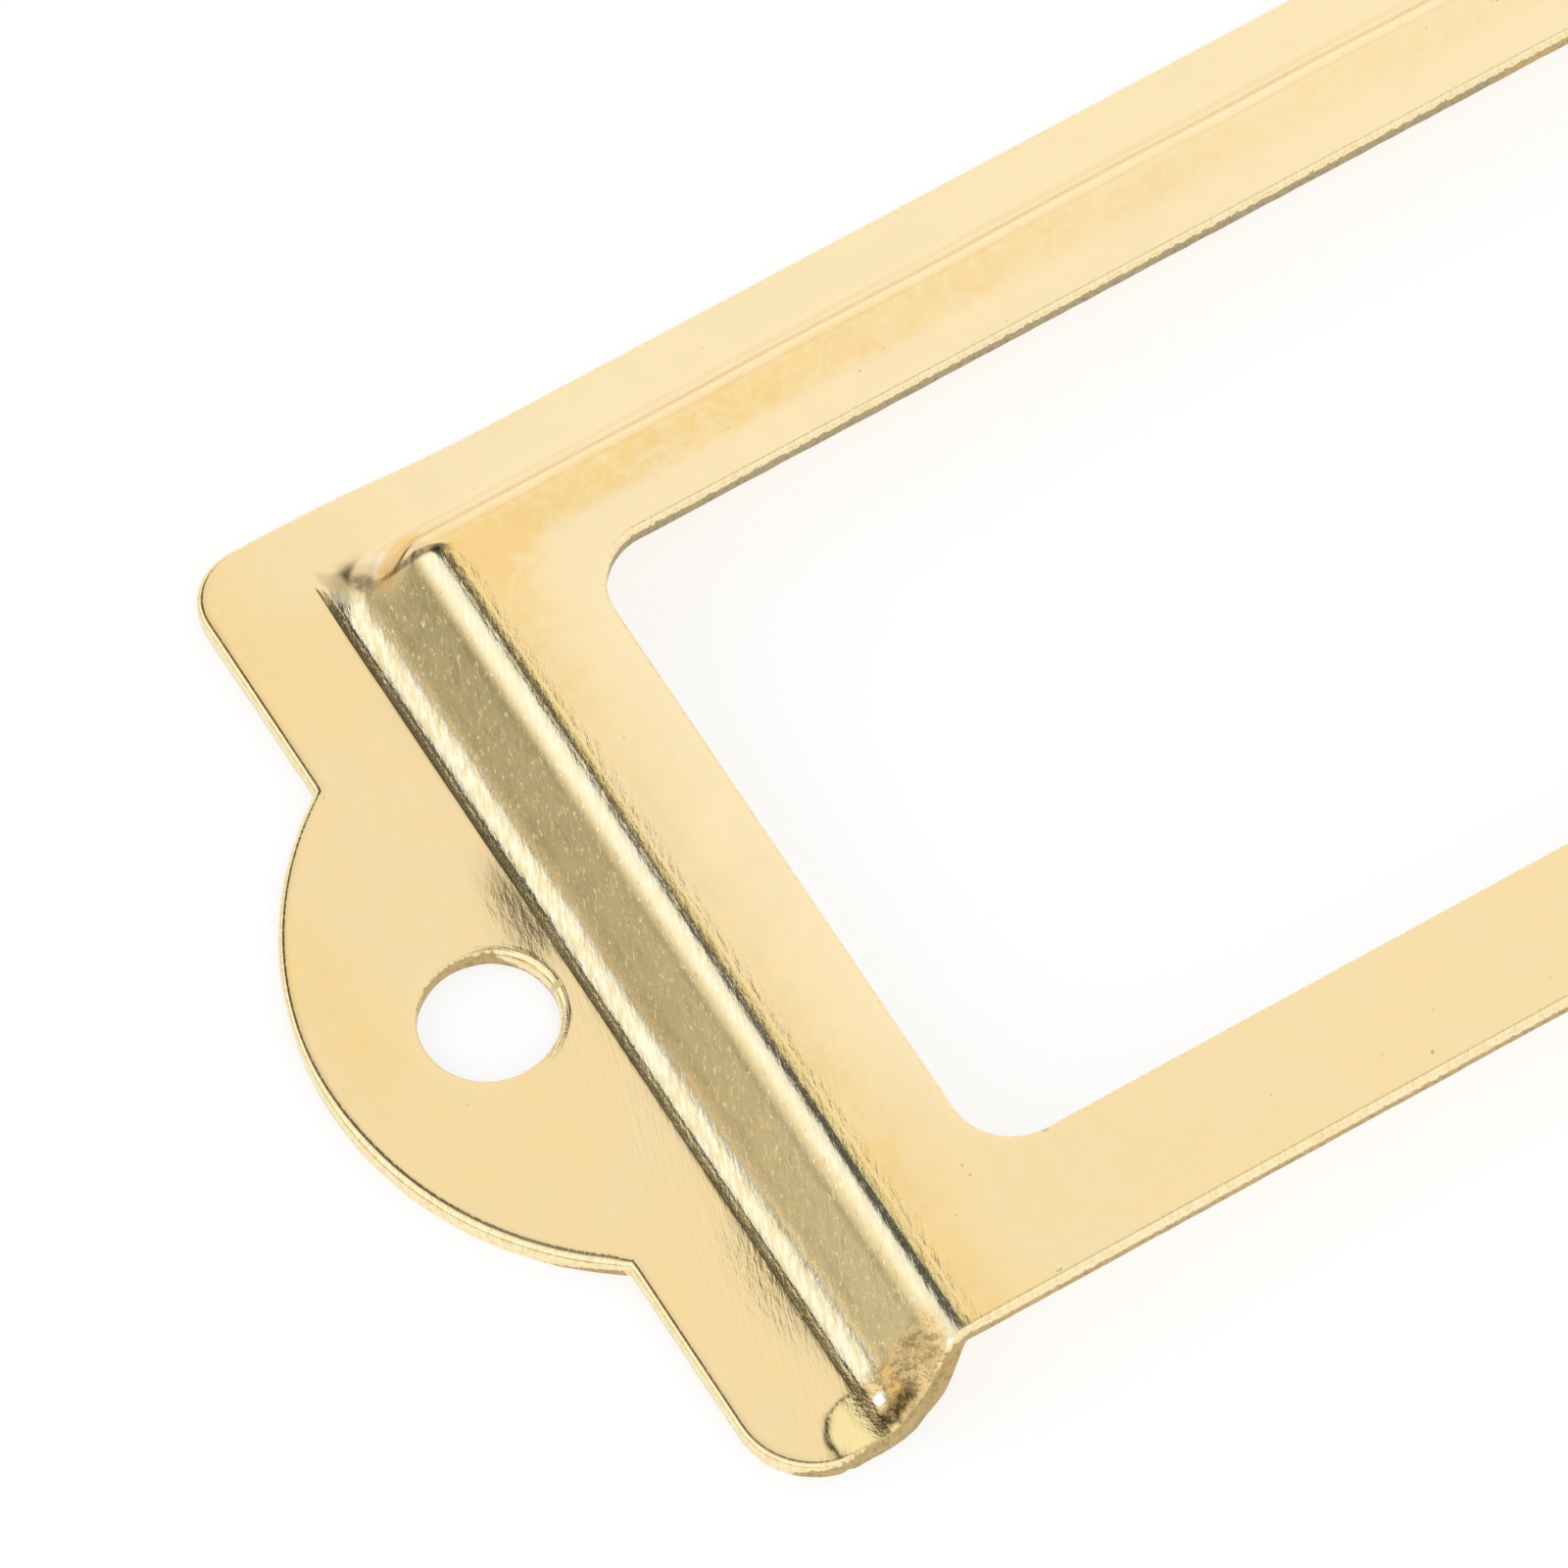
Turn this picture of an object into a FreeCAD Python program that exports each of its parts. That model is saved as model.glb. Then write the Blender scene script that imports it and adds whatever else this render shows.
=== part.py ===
import FreeCAD, Part
import math
import os

# A stamped label frame: one bent sheet that lies flat against a drawer front. The window panel stands
# RAISE above the mounting plane, on a sloped step at each end and along the closed long side. The other
# long side is open, so that a card slides in behind the panel. An ear at each end takes a screw.
#
# X runs along the frame, Y from the open long side to the closed one, and Z out of the drawer front.
# The origin is the middle of the back plane. Sizes are in millimetres.

V = FreeCAD.Vector

# Sheet and bends, and the rounding that blanking leaves on the front edges
SHEET = 0.5
RAISE = 2.05
END_STEP_ANGLE = 51.0
CLOSED_STEP_ANGLE = 63.0
FOOT_R = 0.9
CROWN_INSIDE_R = 0.45
BLANKING_R = 0.15

# Screw holes
HOLE_SPACING = 76.0
HOLE_D = 3.0
HOLE_LINE_Y = 0.15

# Ears, each with a round lobe that carries the hole
EAR_HEIGHT = 25.4
EAR_BEYOND_HOLE = 0.42
LOBE_R = 8.0
LOBE_CENTRE_FROM_HOLE = 4.15
EAR_CORNER_R_CLOSED = 1.3
EAR_CORNER_R_OPEN = 1.85

# Raised panel and its step
FOOT_FROM_HOLE = 1.97
LIP_WIDTH = 1.08
CLOSED_DRAW_IN = 0.2
OPEN_DRAW_IN = 0.42
DRAW_IN_LENGTH = 5.2

# Bars between the panel's edges and the window
END_BAR = 2.21
CLOSED_BAR = 1.74
OPEN_BAR = 3.2
WINDOW_CORNER_R = 1.4

# Clearance of cutting tools past the sheet
PAST = 2.0

# Sizes that follow from those above
END_ANGLE = math.radians(END_STEP_ANGLE)
CLOSED_ANGLE = math.radians(CLOSED_STEP_ANGLE)
CROWN_R = CROWN_INSIDE_R + SHEET
FRONT_Z = RAISE + SHEET
END_RUN = (FOOT_R + CROWN_R) * math.tan(END_ANGLE / 2) + RAISE / math.tan(END_ANGLE)
CLOSED_RUN = (FOOT_R + CROWN_R) * math.tan(CLOSED_ANGLE / 2) + RAISE / math.tan(CLOSED_ANGLE)

HOLE_X = HOLE_SPACING / 2
EAR_X = HOLE_X + EAR_BEYOND_HOLE
FOOT_X = HOLE_X - FOOT_FROM_HOLE
CROWN_X = FOOT_X - END_RUN
EAR_Y = EAR_HEIGHT / 2
CLOSED_Y = EAR_Y - CLOSED_DRAW_IN
OPEN_Y = OPEN_DRAW_IN - EAR_Y
FOOT_Y = CLOSED_Y - LIP_WIDTH
CROWN_Y = FOOT_Y - CLOSED_RUN
WINDOW_X = CROWN_X - END_BAR
WINDOW_Y_CLOSED = CROWN_Y - CLOSED_BAR
WINDOW_Y_OPEN = OPEN_Y + OPEN_BAR
LOBE_X = HOLE_X - LOBE_CENTRE_FROM_HOLE
REACH_X = LOBE_X + LOBE_R + PAST
REACH_Y = EAR_Y + PAST


def prism(points, along):
    """Solid swept from a flat closed outline."""
    return Part.Face(Part.makePolygon(points + [points[0]])).extrude(along)


def frustum(base_x, base_y, base_z, top_z):
    """Solid with a level top, sloped at both ends and on the closed side, plain on the open side."""
    top_x = base_x - (top_z - base_z) / math.tan(END_ANGLE)
    top_y = base_y - (top_z - base_z) / math.tan(CLOSED_ANGLE)
    ends = prism([V(-base_x, -REACH_Y, base_z), V(base_x, -REACH_Y, base_z),
                  V(top_x, -REACH_Y, top_z), V(-top_x, -REACH_Y, top_z)],
                 V(0, 2 * REACH_Y, 0))
    closed_side = prism([V(-REACH_X, -REACH_Y, base_z), V(-REACH_X, base_y, base_z),
                         V(-REACH_X, top_y, top_z), V(-REACH_X, -REACH_Y, top_z)],
                        V(2 * REACH_X, 0, 0))
    return ends.common(closed_side)


def edges_where(shape, test):
    """Edges whose two ends both pass the test."""
    found = []
    for edge in shape.Edges:
        ends = [v.Point for v in edge.Vertexes]
        if len(ends) == 2 and test(*ends):
            found.append(edge)
    return found


def level_edges(shape, z):
    """Edges of the tray at one height, without those on its plain open end."""
    def on_level(a, b):
        level = abs(a.z - z) < 1e-6 and abs(b.z - z) < 1e-6
        open_end = abs(a.y + REACH_Y) < 1e-6 and abs(b.y + REACH_Y) < 1e-6
        border = max(abs(a.x), abs(b.x)) > REACH_X - 1e-6 or max(a.y, b.y) > REACH_Y - 1e-6
        return level and not open_end and not border
    return edges_where(shape, on_level)


def formed_block(base_x, base_y, ground_z, depth, top_z, crown_r, foot_r):
    """A slab under ground_z with the tray standing on it, rounded at its crown, corners and foot."""
    drop_x = depth / math.tan(END_ANGLE)
    drop_y = depth / math.tan(CLOSED_ANGLE)
    tray = frustum(base_x + drop_x, base_y + drop_y, ground_z - depth, top_z)

    def slanted_corner(a, b):
        return abs(a.z - b.z) > 1e-6 and min(a.y, b.y) > 0
    tray = tray.makeFillet(crown_r, level_edges(tray, top_z) + edges_where(tray, slanted_corner))
    slab = Part.makeBox(2 * REACH_X, 2 * REACH_Y, depth, V(-REACH_X, -REACH_Y, ground_z - depth))
    block = slab.fuse(tray).removeSplitter()
    return block.makeFillet(foot_r, level_edges(block, ground_z))


def bent_sheet():
    """The sheet before blanking: the front form less the same form one sheet lower."""
    foot_edge_x = FOOT_X - FOOT_R * math.tan(END_ANGLE / 2)
    foot_edge_y = FOOT_Y - FOOT_R * math.tan(CLOSED_ANGLE / 2)
    back_edge_x = foot_edge_x - SHEET * math.tan(END_ANGLE / 2)
    back_edge_y = foot_edge_y - SHEET * math.tan(CLOSED_ANGLE / 2)
    front = formed_block(foot_edge_x, foot_edge_y, SHEET, SHEET, FRONT_Z, CROWN_R, FOOT_R)
    back = formed_block(back_edge_x, back_edge_y, 0, PAST, RAISE, CROWN_INSIDE_R, FOOT_R + SHEET)
    return front.cut(back)


def upright(wire):
    """Prism on a closed outline, from below the sheet to above it."""
    wire.translate(V(0, 0, -PAST))
    return Part.Face(wire).extrude(V(0, 0, FRONT_Z + 2 * PAST))


def line(a, b):
    """Straight edge between two points in plan."""
    return Part.LineSegment(V(*a), V(*b)).toShape()


def arc(a, via, b):
    """Round edge through three points in plan."""
    return Part.Arc(V(*a), V(*via), V(*b)).toShape()


def corner(centre, radius, side):
    """Quarter round of an outer right-hand corner, low (side -1) or high (side 1), run upwards."""
    x, y = centre
    slant = radius * math.sqrt(0.5)
    level_end = (x, y + side * radius)
    upright_end = (x + radius, y)
    via = (x + slant, y + side * slant)
    if side < 0:
        return arc(level_end, via, upright_end)
    return arc(upright_end, via, level_end)


def s_bend(a, b):
    """Two equal arcs from a to b that run along X at both ends."""
    half = (b[0] - a[0]) / 2
    rise = b[1] - a[1]
    radius = (4 * half ** 2 + rise ** 2) / (4 * abs(rise))
    sag = math.copysign(radius - math.sqrt(radius ** 2 - (half / 2) ** 2), rise)
    middle = (a[0] + half, a[1] + rise / 2)
    return [arc(a, (a[0] + half / 2, a[1] + sag), middle),
            arc(middle, (b[0] - half / 2, b[1] - sag), b)]


def blank():
    """Prism on the sheet's outline, whose long edges are drawn in a little where the panel is raised."""
    drawn_x = FOOT_X - DRAW_IN_LENGTH
    low_x = EAR_X - EAR_CORNER_R_OPEN
    low_y = EAR_CORNER_R_OPEN - EAR_Y
    high_x = EAR_X - EAR_CORNER_R_CLOSED
    high_y = EAR_Y - EAR_CORNER_R_CLOSED
    lobe_half = math.sqrt(LOBE_R ** 2 - (EAR_X - LOBE_X) ** 2)
    lobe_low = (EAR_X, HOLE_LINE_Y - lobe_half)
    lobe_high = (EAR_X, HOLE_LINE_Y + lobe_half)
    half = [line((0, OPEN_Y), (CROWN_X, OPEN_Y))]
    half += s_bend((CROWN_X, OPEN_Y), (FOOT_X, -EAR_Y))
    half += [line((FOOT_X, -EAR_Y), (low_x, -EAR_Y)),
             corner((low_x, low_y), EAR_CORNER_R_OPEN, -1),
             line((EAR_X, low_y), lobe_low),
             arc(lobe_low, (LOBE_X + LOBE_R, HOLE_LINE_Y), lobe_high),
             line(lobe_high, (EAR_X, high_y)),
             corner((high_x, high_y), EAR_CORNER_R_CLOSED, 1),
             line((high_x, EAR_Y), (FOOT_X, EAR_Y))]
    half += s_bend((FOOT_X, EAR_Y), (drawn_x, CLOSED_Y))
    half += [line((drawn_x, CLOSED_Y), (0, CLOSED_Y))]
    mirrored = [edge.mirror(V(0, 0, 0), V(1, 0, 0)) for edge in half]
    return upright(Part.Wire(Part.__sortEdges__(half + mirrored)))


def window():
    """Prism on the opening that shows the card."""
    loop = Part.makePolygon([V(x, y, 0) for x, y in
                             [(-WINDOW_X, WINDOW_Y_OPEN), (WINDOW_X, WINDOW_Y_OPEN),
                              (WINDOW_X, WINDOW_Y_CLOSED), (-WINDOW_X, WINDOW_Y_CLOSED),
                              (-WINDOW_X, WINDOW_Y_OPEN)]])
    opening = upright(loop)
    return opening.makeFillet(WINDOW_CORNER_R, edges_where(opening, lambda a, b: abs(a.z - b.z) > 1e-6))


def upward(face):
    """Upward part of a face's outward normal, 0 on a cut edge."""
    u_low, u_high, v_low, v_high = face.ParameterRange
    return face.normalAt((u_low + u_high) / 2, (v_low + v_high) / 2).z


def front_cut_edges(sheet):
    """Edges between the front surface and the cut faces, all round the sheet, window and holes."""
    front = {e.hashCode(): e for f in sheet.Faces if upward(f) > 1e-3 for e in f.Edges}
    cut = {e.hashCode() for f in sheet.Faces if abs(upward(f)) < 1e-6 for e in f.Edges}
    return [edge for code, edge in front.items() if code in cut]


def label_frame():
    """The finished part."""
    sheet = bent_sheet().common(blank()).cut(window())
    for side in (-1, 1):
        sheet = sheet.cut(Part.makeCylinder(
            HOLE_D / 2, FRONT_Z + 2 * PAST, V(side * HOLE_X, HOLE_LINE_Y, -PAST)))
    return sheet.makeFillet(BLANKING_R, front_cut_edges(sheet))


os.makedirs("parts", exist_ok=True)
part = label_frame()
part.exportStep("parts/label_frame.step")
print("label_frame solids", len(part.Solids), "valid", part.isValid(), "volume", round(part.Volume, 2))
print("box", part.optimalBoundingBox())
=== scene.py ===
import math

import bpy
import numpy as np
from mathutils import Matrix, Vector
from mathutils.geometry import delaunay_2d_cdt
from mathutils.kdtree import KDTree


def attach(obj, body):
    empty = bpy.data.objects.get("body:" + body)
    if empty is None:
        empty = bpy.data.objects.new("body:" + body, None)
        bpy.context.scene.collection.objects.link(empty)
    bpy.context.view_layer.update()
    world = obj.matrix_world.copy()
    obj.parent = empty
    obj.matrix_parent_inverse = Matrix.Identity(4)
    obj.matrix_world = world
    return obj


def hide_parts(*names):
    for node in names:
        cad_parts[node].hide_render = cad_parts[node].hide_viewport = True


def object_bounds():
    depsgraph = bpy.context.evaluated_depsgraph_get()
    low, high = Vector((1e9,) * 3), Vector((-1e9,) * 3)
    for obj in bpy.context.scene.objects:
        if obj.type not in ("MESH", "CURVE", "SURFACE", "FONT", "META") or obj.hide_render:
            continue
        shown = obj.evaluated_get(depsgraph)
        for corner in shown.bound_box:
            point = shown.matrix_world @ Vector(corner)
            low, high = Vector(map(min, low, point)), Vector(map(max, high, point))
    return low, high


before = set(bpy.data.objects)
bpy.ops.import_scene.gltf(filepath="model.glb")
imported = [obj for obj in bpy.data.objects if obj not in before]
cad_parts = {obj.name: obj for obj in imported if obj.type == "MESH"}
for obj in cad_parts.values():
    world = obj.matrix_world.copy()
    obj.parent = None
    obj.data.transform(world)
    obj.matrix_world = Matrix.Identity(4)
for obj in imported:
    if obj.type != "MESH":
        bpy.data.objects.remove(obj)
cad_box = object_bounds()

# A stamped label frame in bright pale brass plating, lying on a white floor. One closed mesh stands for
# the bent sheet: its front is a height over the plan, its back the same surface one sheet lower, and
# strips run round every cut edge. Lengths are in millimetres until the mesh is made.

MM = 0.001
rng = np.random.default_rng(7)

# The sizes of the solid
SHEET = 0.5
RAISE = 2.05
FRONT_Z = RAISE + SHEET
CROWN_R = 0.95
FOOT_R = 0.9
END_ANGLE, CLOSED_ANGLE = math.radians(51), math.radians(63)


def step_run(angle):
    """Distance in plan from a step's crown to its foot."""
    return (CROWN_R + FOOT_R) * math.tan(angle / 2) + RAISE / math.tan(angle)


HOLE_X, HOLE_Y, HOLE_R = 38.0, 0.15, 1.5
EAR_X, EAR_Y = 38.42, 12.7
LOBE_X, LOBE_R = 33.85, 8.0
CORNER_CLOSED, CORNER_OPEN = 1.3, 1.85
CLOSED_Y, OPEN_Y = 12.5, -12.28
FOOT_X, FOOT_Y = 36.03, 11.42
CROWN_X = FOOT_X - step_run(END_ANGLE)
CROWN_Y = FOOT_Y - step_run(CLOSED_ANGLE)
DRAWN_X = FOOT_X - 5.2
WINDOW_X = CROWN_X - 2.21
WINDOW_CLOSED, WINDOW_OPEN = CROWN_Y - 1.69, OPEN_Y + 3.2
WINDOW_R = 1.4

# The solid's box, which the mesh stays in
BOX_LOW, BOX_HIGH = np.array(cad_box[0]) / MM, np.array(cad_box[1]) / MM


# Soft noise over the plan

# Points of the lattice each way, and a shift that keeps all places on it above 0
LATTICE = 64
LATTICE_START = 400


def soft_noise(x, y, size, seed):
    """Smooth noise between -1 and 1 whose features are about size across."""
    lattice = np.random.default_rng(seed).uniform(-1, 1, (LATTICE, LATTICE))
    gx, gy = x / size + LATTICE_START, y / size + LATTICE_START
    ix, iy = np.floor(gx).astype(int), np.floor(gy).astype(int)
    fx, fy = gx - ix, gy - iy
    fx, fy = fx * fx * (3 - 2 * fx), fy * fy * (3 - 2 * fy)
    ix, iy = ix % (LATTICE - 1), iy % (LATTICE - 1)
    low = lattice[ix, iy] * (1 - fx) + lattice[ix + 1, iy] * fx
    high = lattice[ix, iy + 1] * (1 - fx) + lattice[ix + 1, iy + 1] * fx
    return low * (1 - fy) + high * fy


def waver(along, height, size, seed):
    """How far a line strays from its place, up to height, at each point along it."""
    return height * soft_noise(along, 0 * along, size, seed)


def ease(value, start, end):
    """0 before start, 1 after end, smooth between."""
    t = np.clip((value - start) / (end - start), 0, 1)
    return t * t * (3 - 2 * t)


def hump(value, centre, half):
    """1 at the centre, 0 beyond half a width from it."""
    return 1 - ease(np.abs(value - centre), 0, half)


# Outlines in plan, each with the metal on its left

PITCH = 0.15
ON_EDGE = 0.01

# The open edge bulges a little where the end step runs out
BULGE, BULGE_X, BULGE_HALF = 0.15, FOOT_X - 1.15, 1.0


def straight(a, b):
    n = max(1, round(math.dist(a, b) / PITCH))
    t = np.arange(n)[:, None] / n
    return np.array(a) * (1 - t) + np.array(b) * t


def arc(centre, radius, start, end):
    n = max(4, round(radius * abs(end - start) / PITCH))
    a = start + (end - start) * np.arange(n) / n
    return np.column_stack([centre[0] + radius * np.cos(a), centre[1] + radius * np.sin(a)])


def s_bend(a, b):
    n = max(4, round(abs(b[0] - a[0]) / PITCH))
    t = np.arange(n) / n
    share = np.where(t < 0.5, 2 * t ** 2, 1 - 2 * (1 - t) ** 2)
    return np.column_stack([a[0] + (b[0] - a[0]) * t, a[1] + (b[1] - a[1]) * share])


def outline():
    lobe_turn = math.acos((EAR_X - LOBE_X) / LOBE_R)
    rise = LOBE_R * math.sin(lobe_turn)
    low, high = CORNER_OPEN, CORNER_CLOSED
    quarter = math.pi / 2
    right = np.vstack([
        straight((0, OPEN_Y), (CROWN_X, OPEN_Y)),
        s_bend((CROWN_X, OPEN_Y), (FOOT_X, -EAR_Y)),
        straight((FOOT_X, -EAR_Y), (EAR_X - low, -EAR_Y)),
        arc((EAR_X - low, low - EAR_Y), low, -quarter, 0),
        straight((EAR_X, low - EAR_Y), (EAR_X, HOLE_Y - rise)),
        arc((LOBE_X, HOLE_Y), LOBE_R, -lobe_turn, lobe_turn),
        straight((EAR_X, HOLE_Y + rise), (EAR_X, EAR_Y - high)),
        arc((EAR_X - high, EAR_Y - high), high, 0, quarter),
        straight((EAR_X - high, EAR_Y), (FOOT_X, EAR_Y)),
        s_bend((FOOT_X, EAR_Y), (DRAWN_X, CLOSED_Y)),
        straight((DRAWN_X, CLOSED_Y), (0, CLOSED_Y)),
        [(0, CLOSED_Y)]])
    on_open_edge = right[:, 1] < OPEN_Y + ON_EDGE
    right[:, 1] -= BULGE * on_open_edge * hump(right[:, 0], BULGE_X, BULGE_HALF)
    left = right[-2:0:-1] * (-1, 1)
    return np.vstack([right, left])


def window():
    x, y0, y1, r = WINDOW_X, WINDOW_OPEN, WINDOW_CLOSED, WINDOW_R
    quarter = math.pi / 2
    loop = np.vstack([
        straight((-x + r, y0), (x - r, y0)),
        arc((x - r, y0 + r), r, -quarter, 0),
        straight((x, y0 + r), (x, y1 - r)),
        arc((x - r, y1 - r), r, 0, quarter),
        straight((x - r, y1), (-x + r, y1)),
        arc((-x + r, y1 - r), r, quarter, 2 * quarter),
        straight((-x, y1 - r), (-x, y0 + r)),
        arc((-x + r, y0 + r), r, 2 * quarter, 3 * quarter)])
    return loop[::-1]


def hole(side):
    return arc((side * HOLE_X, HOLE_Y), HOLE_R, 0, 2 * math.pi)[::-1]


def inward(loop):
    """Plan direction into the metal at each point, longer at a corner so that strips keep their width."""
    step = np.roll(loop, -1, 0) - loop
    step /= np.linalg.norm(step, axis=1)[:, None]
    normal = np.column_stack([-step[:, 1], step[:, 0]])
    mean = normal + np.roll(normal, 1, 0)
    mean /= np.linalg.norm(mean, axis=1)[:, None]
    return mean / (mean * normal).sum(1)[:, None]


# Heights of the front over the plan

# Each bend turns tightly at first and widely from a turn on, and still ends on the solid's slope line
CROWN_WIDE, CROWN_TURN = 1.5, math.radians(28)
FOOT_WIDE, FOOT_TURN = 1.5, math.radians(35)

# The hip between two steps is rounded more towards its foot, and scooped out halfway down
HIP_HIGH, HIP_LOW = 0.3, 1.5
HIP_SCOOP, SCOOP_X = 0.33, (CROWN_X + 0.2, CROWN_X + 1.5)
HALVINGS = 22

# Towards the open edge the end step stands a little farther out, and its wall swells at the edge itself
LOW_END_Y, SWELL_Y = (-6, 12), (11.1, 12.5)
CROWN_OUT, CROWN_OUT_LOW, FOOT_OUT_LOW = 0.04, 0.11, 0.05
SWELL = 0.16

# How the bends waver: height, size of the features and seed
CROWN_WAVER = (0.008, 1.3, 3)
FOOT_WAVER, FOOT_FINE_WAVER = (0.010, 1.1, 4), (0.006, 0.3, 5)
CLOSED_WAVER = (0.02, 2.3, 6)

# The panel's rim droops towards the end step
PANEL_DROOP, PANEL_DROOP_WIDTH = 0.045, 0.9
DROOP_END_X, DROOP_END_Y = (0, 2.4), (-0.6, 0.6)

# Where the ear was dragged along beside the foot: above the hole's level, and half as much near the open edge
DRAG_BEGINS, DRAG_ENDS = (0.2, 1.4), (2.2, 4.2)
DRAG_LOW, DRAG_LOW_Y, DRAG_LOW_HALF = 0.5, -8.3, 3.0

# Beside the foot the ear lifts a little, and more where it was dragged along
LIFT, LIFT_DRAGGED = 0.02, 0.10
LIFT_WIDTH, LIFT_WIDTH_DRAGGED = 0.6, 0.35
LIFT_END_X, LIFT_END_Y = (0, 2), (8, 11)

# The raised fan beside the foot at the open edge
FAN_X, FAN_Y, FAN_WIDE, FAN_HIGH = 36.15, -12.25, 0.88, 0.9
FAN_RISE = 0.022
FAN_RAGGED, FAN_NOISE = 0.06, (0.28, 8)
FAN_FADE = (0.82, 1.1)

# The wall's own unevenness, and its sag and ripples at the open edge
WALL_MIDDLE, WALL_HALF = FOOT_X - 1.2, 1.7
SAG, SAG_Y = 0.10, (11.55, 12.6)
RIPPLE, RIPPLE_NOISE, RIPPLE_Y = 0.016, (0.3, 9), (11.2, 12.0)
WALL_UNEVEN, WALL_NOISE = 0.006, (0.8, 10)


def bend(rise, radius, wide, turn, angle):
    """Distance gone along the level for a rise, over a bend that starts level, and up the slope after it."""
    def past_line(start, end):
        return math.sin(end) - math.sin(start) - (math.cos(start) - math.cos(end)) / math.tan(angle)
    tight = (radius * math.tan(angle / 2) - wide * past_line(turn, angle)) / past_line(0, turn)
    tight_rise = tight * (1 - math.cos(turn))
    first = np.sqrt(np.maximum(tight ** 2 - (tight - rise) ** 2, 0))
    cos_turned = np.clip(math.cos(turn) - (rise - tight_rise) / wide, math.cos(angle), 1)
    second = (tight - wide) * math.sin(turn) + wide * np.sqrt(1 - cos_turned ** 2)
    bent = tight_rise + wide * (math.cos(turn) - math.cos(angle))
    return np.where(rise < tight_rise, first, second) + np.maximum(rise - bent, 0) / math.tan(angle)


def reach(z, angle):
    """How far out from the crown's line a step is at height z."""
    crown = bend(FRONT_Z - z, CROWN_R, CROWN_WIDE, CROWN_TURN, angle)
    foot = step_run(angle) - bend(z - SHEET, FOOT_R, FOOT_WIDE, FOOT_TURN, angle)
    return np.where(z > SHEET + RAISE / 2, crown, foot)


def dragged(y):
    """How much the ear was dragged along beside the foot, 0 to 1."""
    high = ease(y, *DRAG_BEGINS) * (1 - ease(y, *DRAG_ENDS))
    return np.maximum(high, DRAG_LOW * hump(y, DRAG_LOW_Y, DRAG_LOW_HALF))


def formed_height(x, y):
    """Height of the formed front, found by halving: the step's level line is a rounded corner."""
    side = np.where(x < 0, 0, 50)
    low_end = ease(-y, *LOW_END_Y)
    crown_out = CROWN_OUT + CROWN_OUT_LOW * low_end
    crown_line = CROWN_X + crown_out + waver(y + side, *CROWN_WAVER)
    foot_out = FOOT_OUT_LOW * low_end + waver(y + side, *FOOT_WAVER) + waver(y + side, *FOOT_FINE_WAVER)
    closed_line = CROWN_Y + waver(x, *CLOSED_WAVER)
    open_end = ease(-y, *SWELL_Y)
    scoop = HIP_SCOOP * ease(np.abs(x), *SCOOP_X)

    def outside(z):
        depth = (FRONT_Z - z) / RAISE
        within = np.clip(depth, 0, 1)
        swell = SWELL * open_end * np.sin(np.pi * within ** 1.5) ** 2
        hip = HIP_HIGH + (HIP_LOW - HIP_HIGH) * within ** 1.5
        a = np.abs(x) - crown_line - reach(z, END_ANGLE) - swell - depth * (foot_out - crown_out)
        b = y - closed_line - reach(z, CLOSED_ANGLE) + scoop * np.sin(np.pi * within)
        return np.maximum(a, b) + np.maximum(hip - np.abs(a - b), 0) ** 2 / (4 * hip) > 0
    low = np.full_like(x, SHEET)
    high = np.full_like(x, FRONT_Z)
    for _ in range(HALVINGS):
        middle = (low + high) / 2
        out = outside(middle)
        high = np.where(out, middle, high)
        low = np.where(out, low, middle)
    return (low + high) / 2


def fan_rise(x, y):
    """The small raised fan beside the foot where the end step runs out at the open edge, 0 to 1."""
    across = np.hypot((np.abs(x) - FAN_X) / FAN_WIDE, (y - FAN_Y) / FAN_HIGH)
    return 1 - ease(across + FAN_RAGGED * soft_noise(x, y, *FAN_NOISE), *FAN_FADE)


def front_height(x, y):
    """Height of the front surface, forming marks included."""
    z = formed_height(x, y)
    u = np.abs(x) - CROWN_X
    v = y - CROWN_Y
    near = np.clip(u / PANEL_DROOP_WIDTH + 1, 0, 1)
    droop = PANEL_DROOP * PANEL_DROOP_WIDTH / 2 * near ** 2
    z = z - droop * (1 - ease(u, *DROOP_END_X)) * (1 - ease(v, *DROOP_END_Y))
    drag = dragged(y)
    lift, width = LIFT + LIFT_DRAGGED * drag, LIFT_WIDTH + LIFT_WIDTH_DRAGGED * drag
    foot = np.clip(1 - (np.abs(x) - FOOT_X) / width, 0, 1)
    lifted = lift * width / 2 * foot ** 2
    z = z + lifted * (1 - ease(FOOT_X - np.abs(x), *LIFT_END_X)) * (1 - ease(y, *LIFT_END_Y))
    z = z + FAN_RISE * fan_rise(x, y)
    on_wall = hump(np.abs(x), WALL_MIDDLE, WALL_HALF)
    z = z - SAG * on_wall * ease(-y, *SAG_Y) ** 2
    z = z + RIPPLE * on_wall * soft_noise(x, y, *RIPPLE_NOISE) * ease(-y, *RIPPLE_Y)
    return z + WALL_UNEVEN * on_wall * soft_noise(x, y, *WALL_NOISE)


def front_normal(x, y):
    """Unit normal of the front surface, from heights a little to each side."""
    h = 0.01
    dx = (front_height(x + h, y) - front_height(x - h, y)) / (2 * h)
    dy = (front_height(x, y + h) - front_height(x, y - h)) / (2 * h)
    n = np.column_stack([-dx, -dy, np.ones_like(dx)])
    return n / np.linalg.norm(n, axis=1)[:, None]


# Points inside the strips, closer together where the sheet bends

# Patches of finer points, x and y from and to: the corner of the step, and its run-out at the open edge
PATCHES = ((33.2, 36.3, 8.8, 11.7), (35.0, 37.3, -12.6, -11.2))
SAME_POINT = 1e-7


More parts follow.
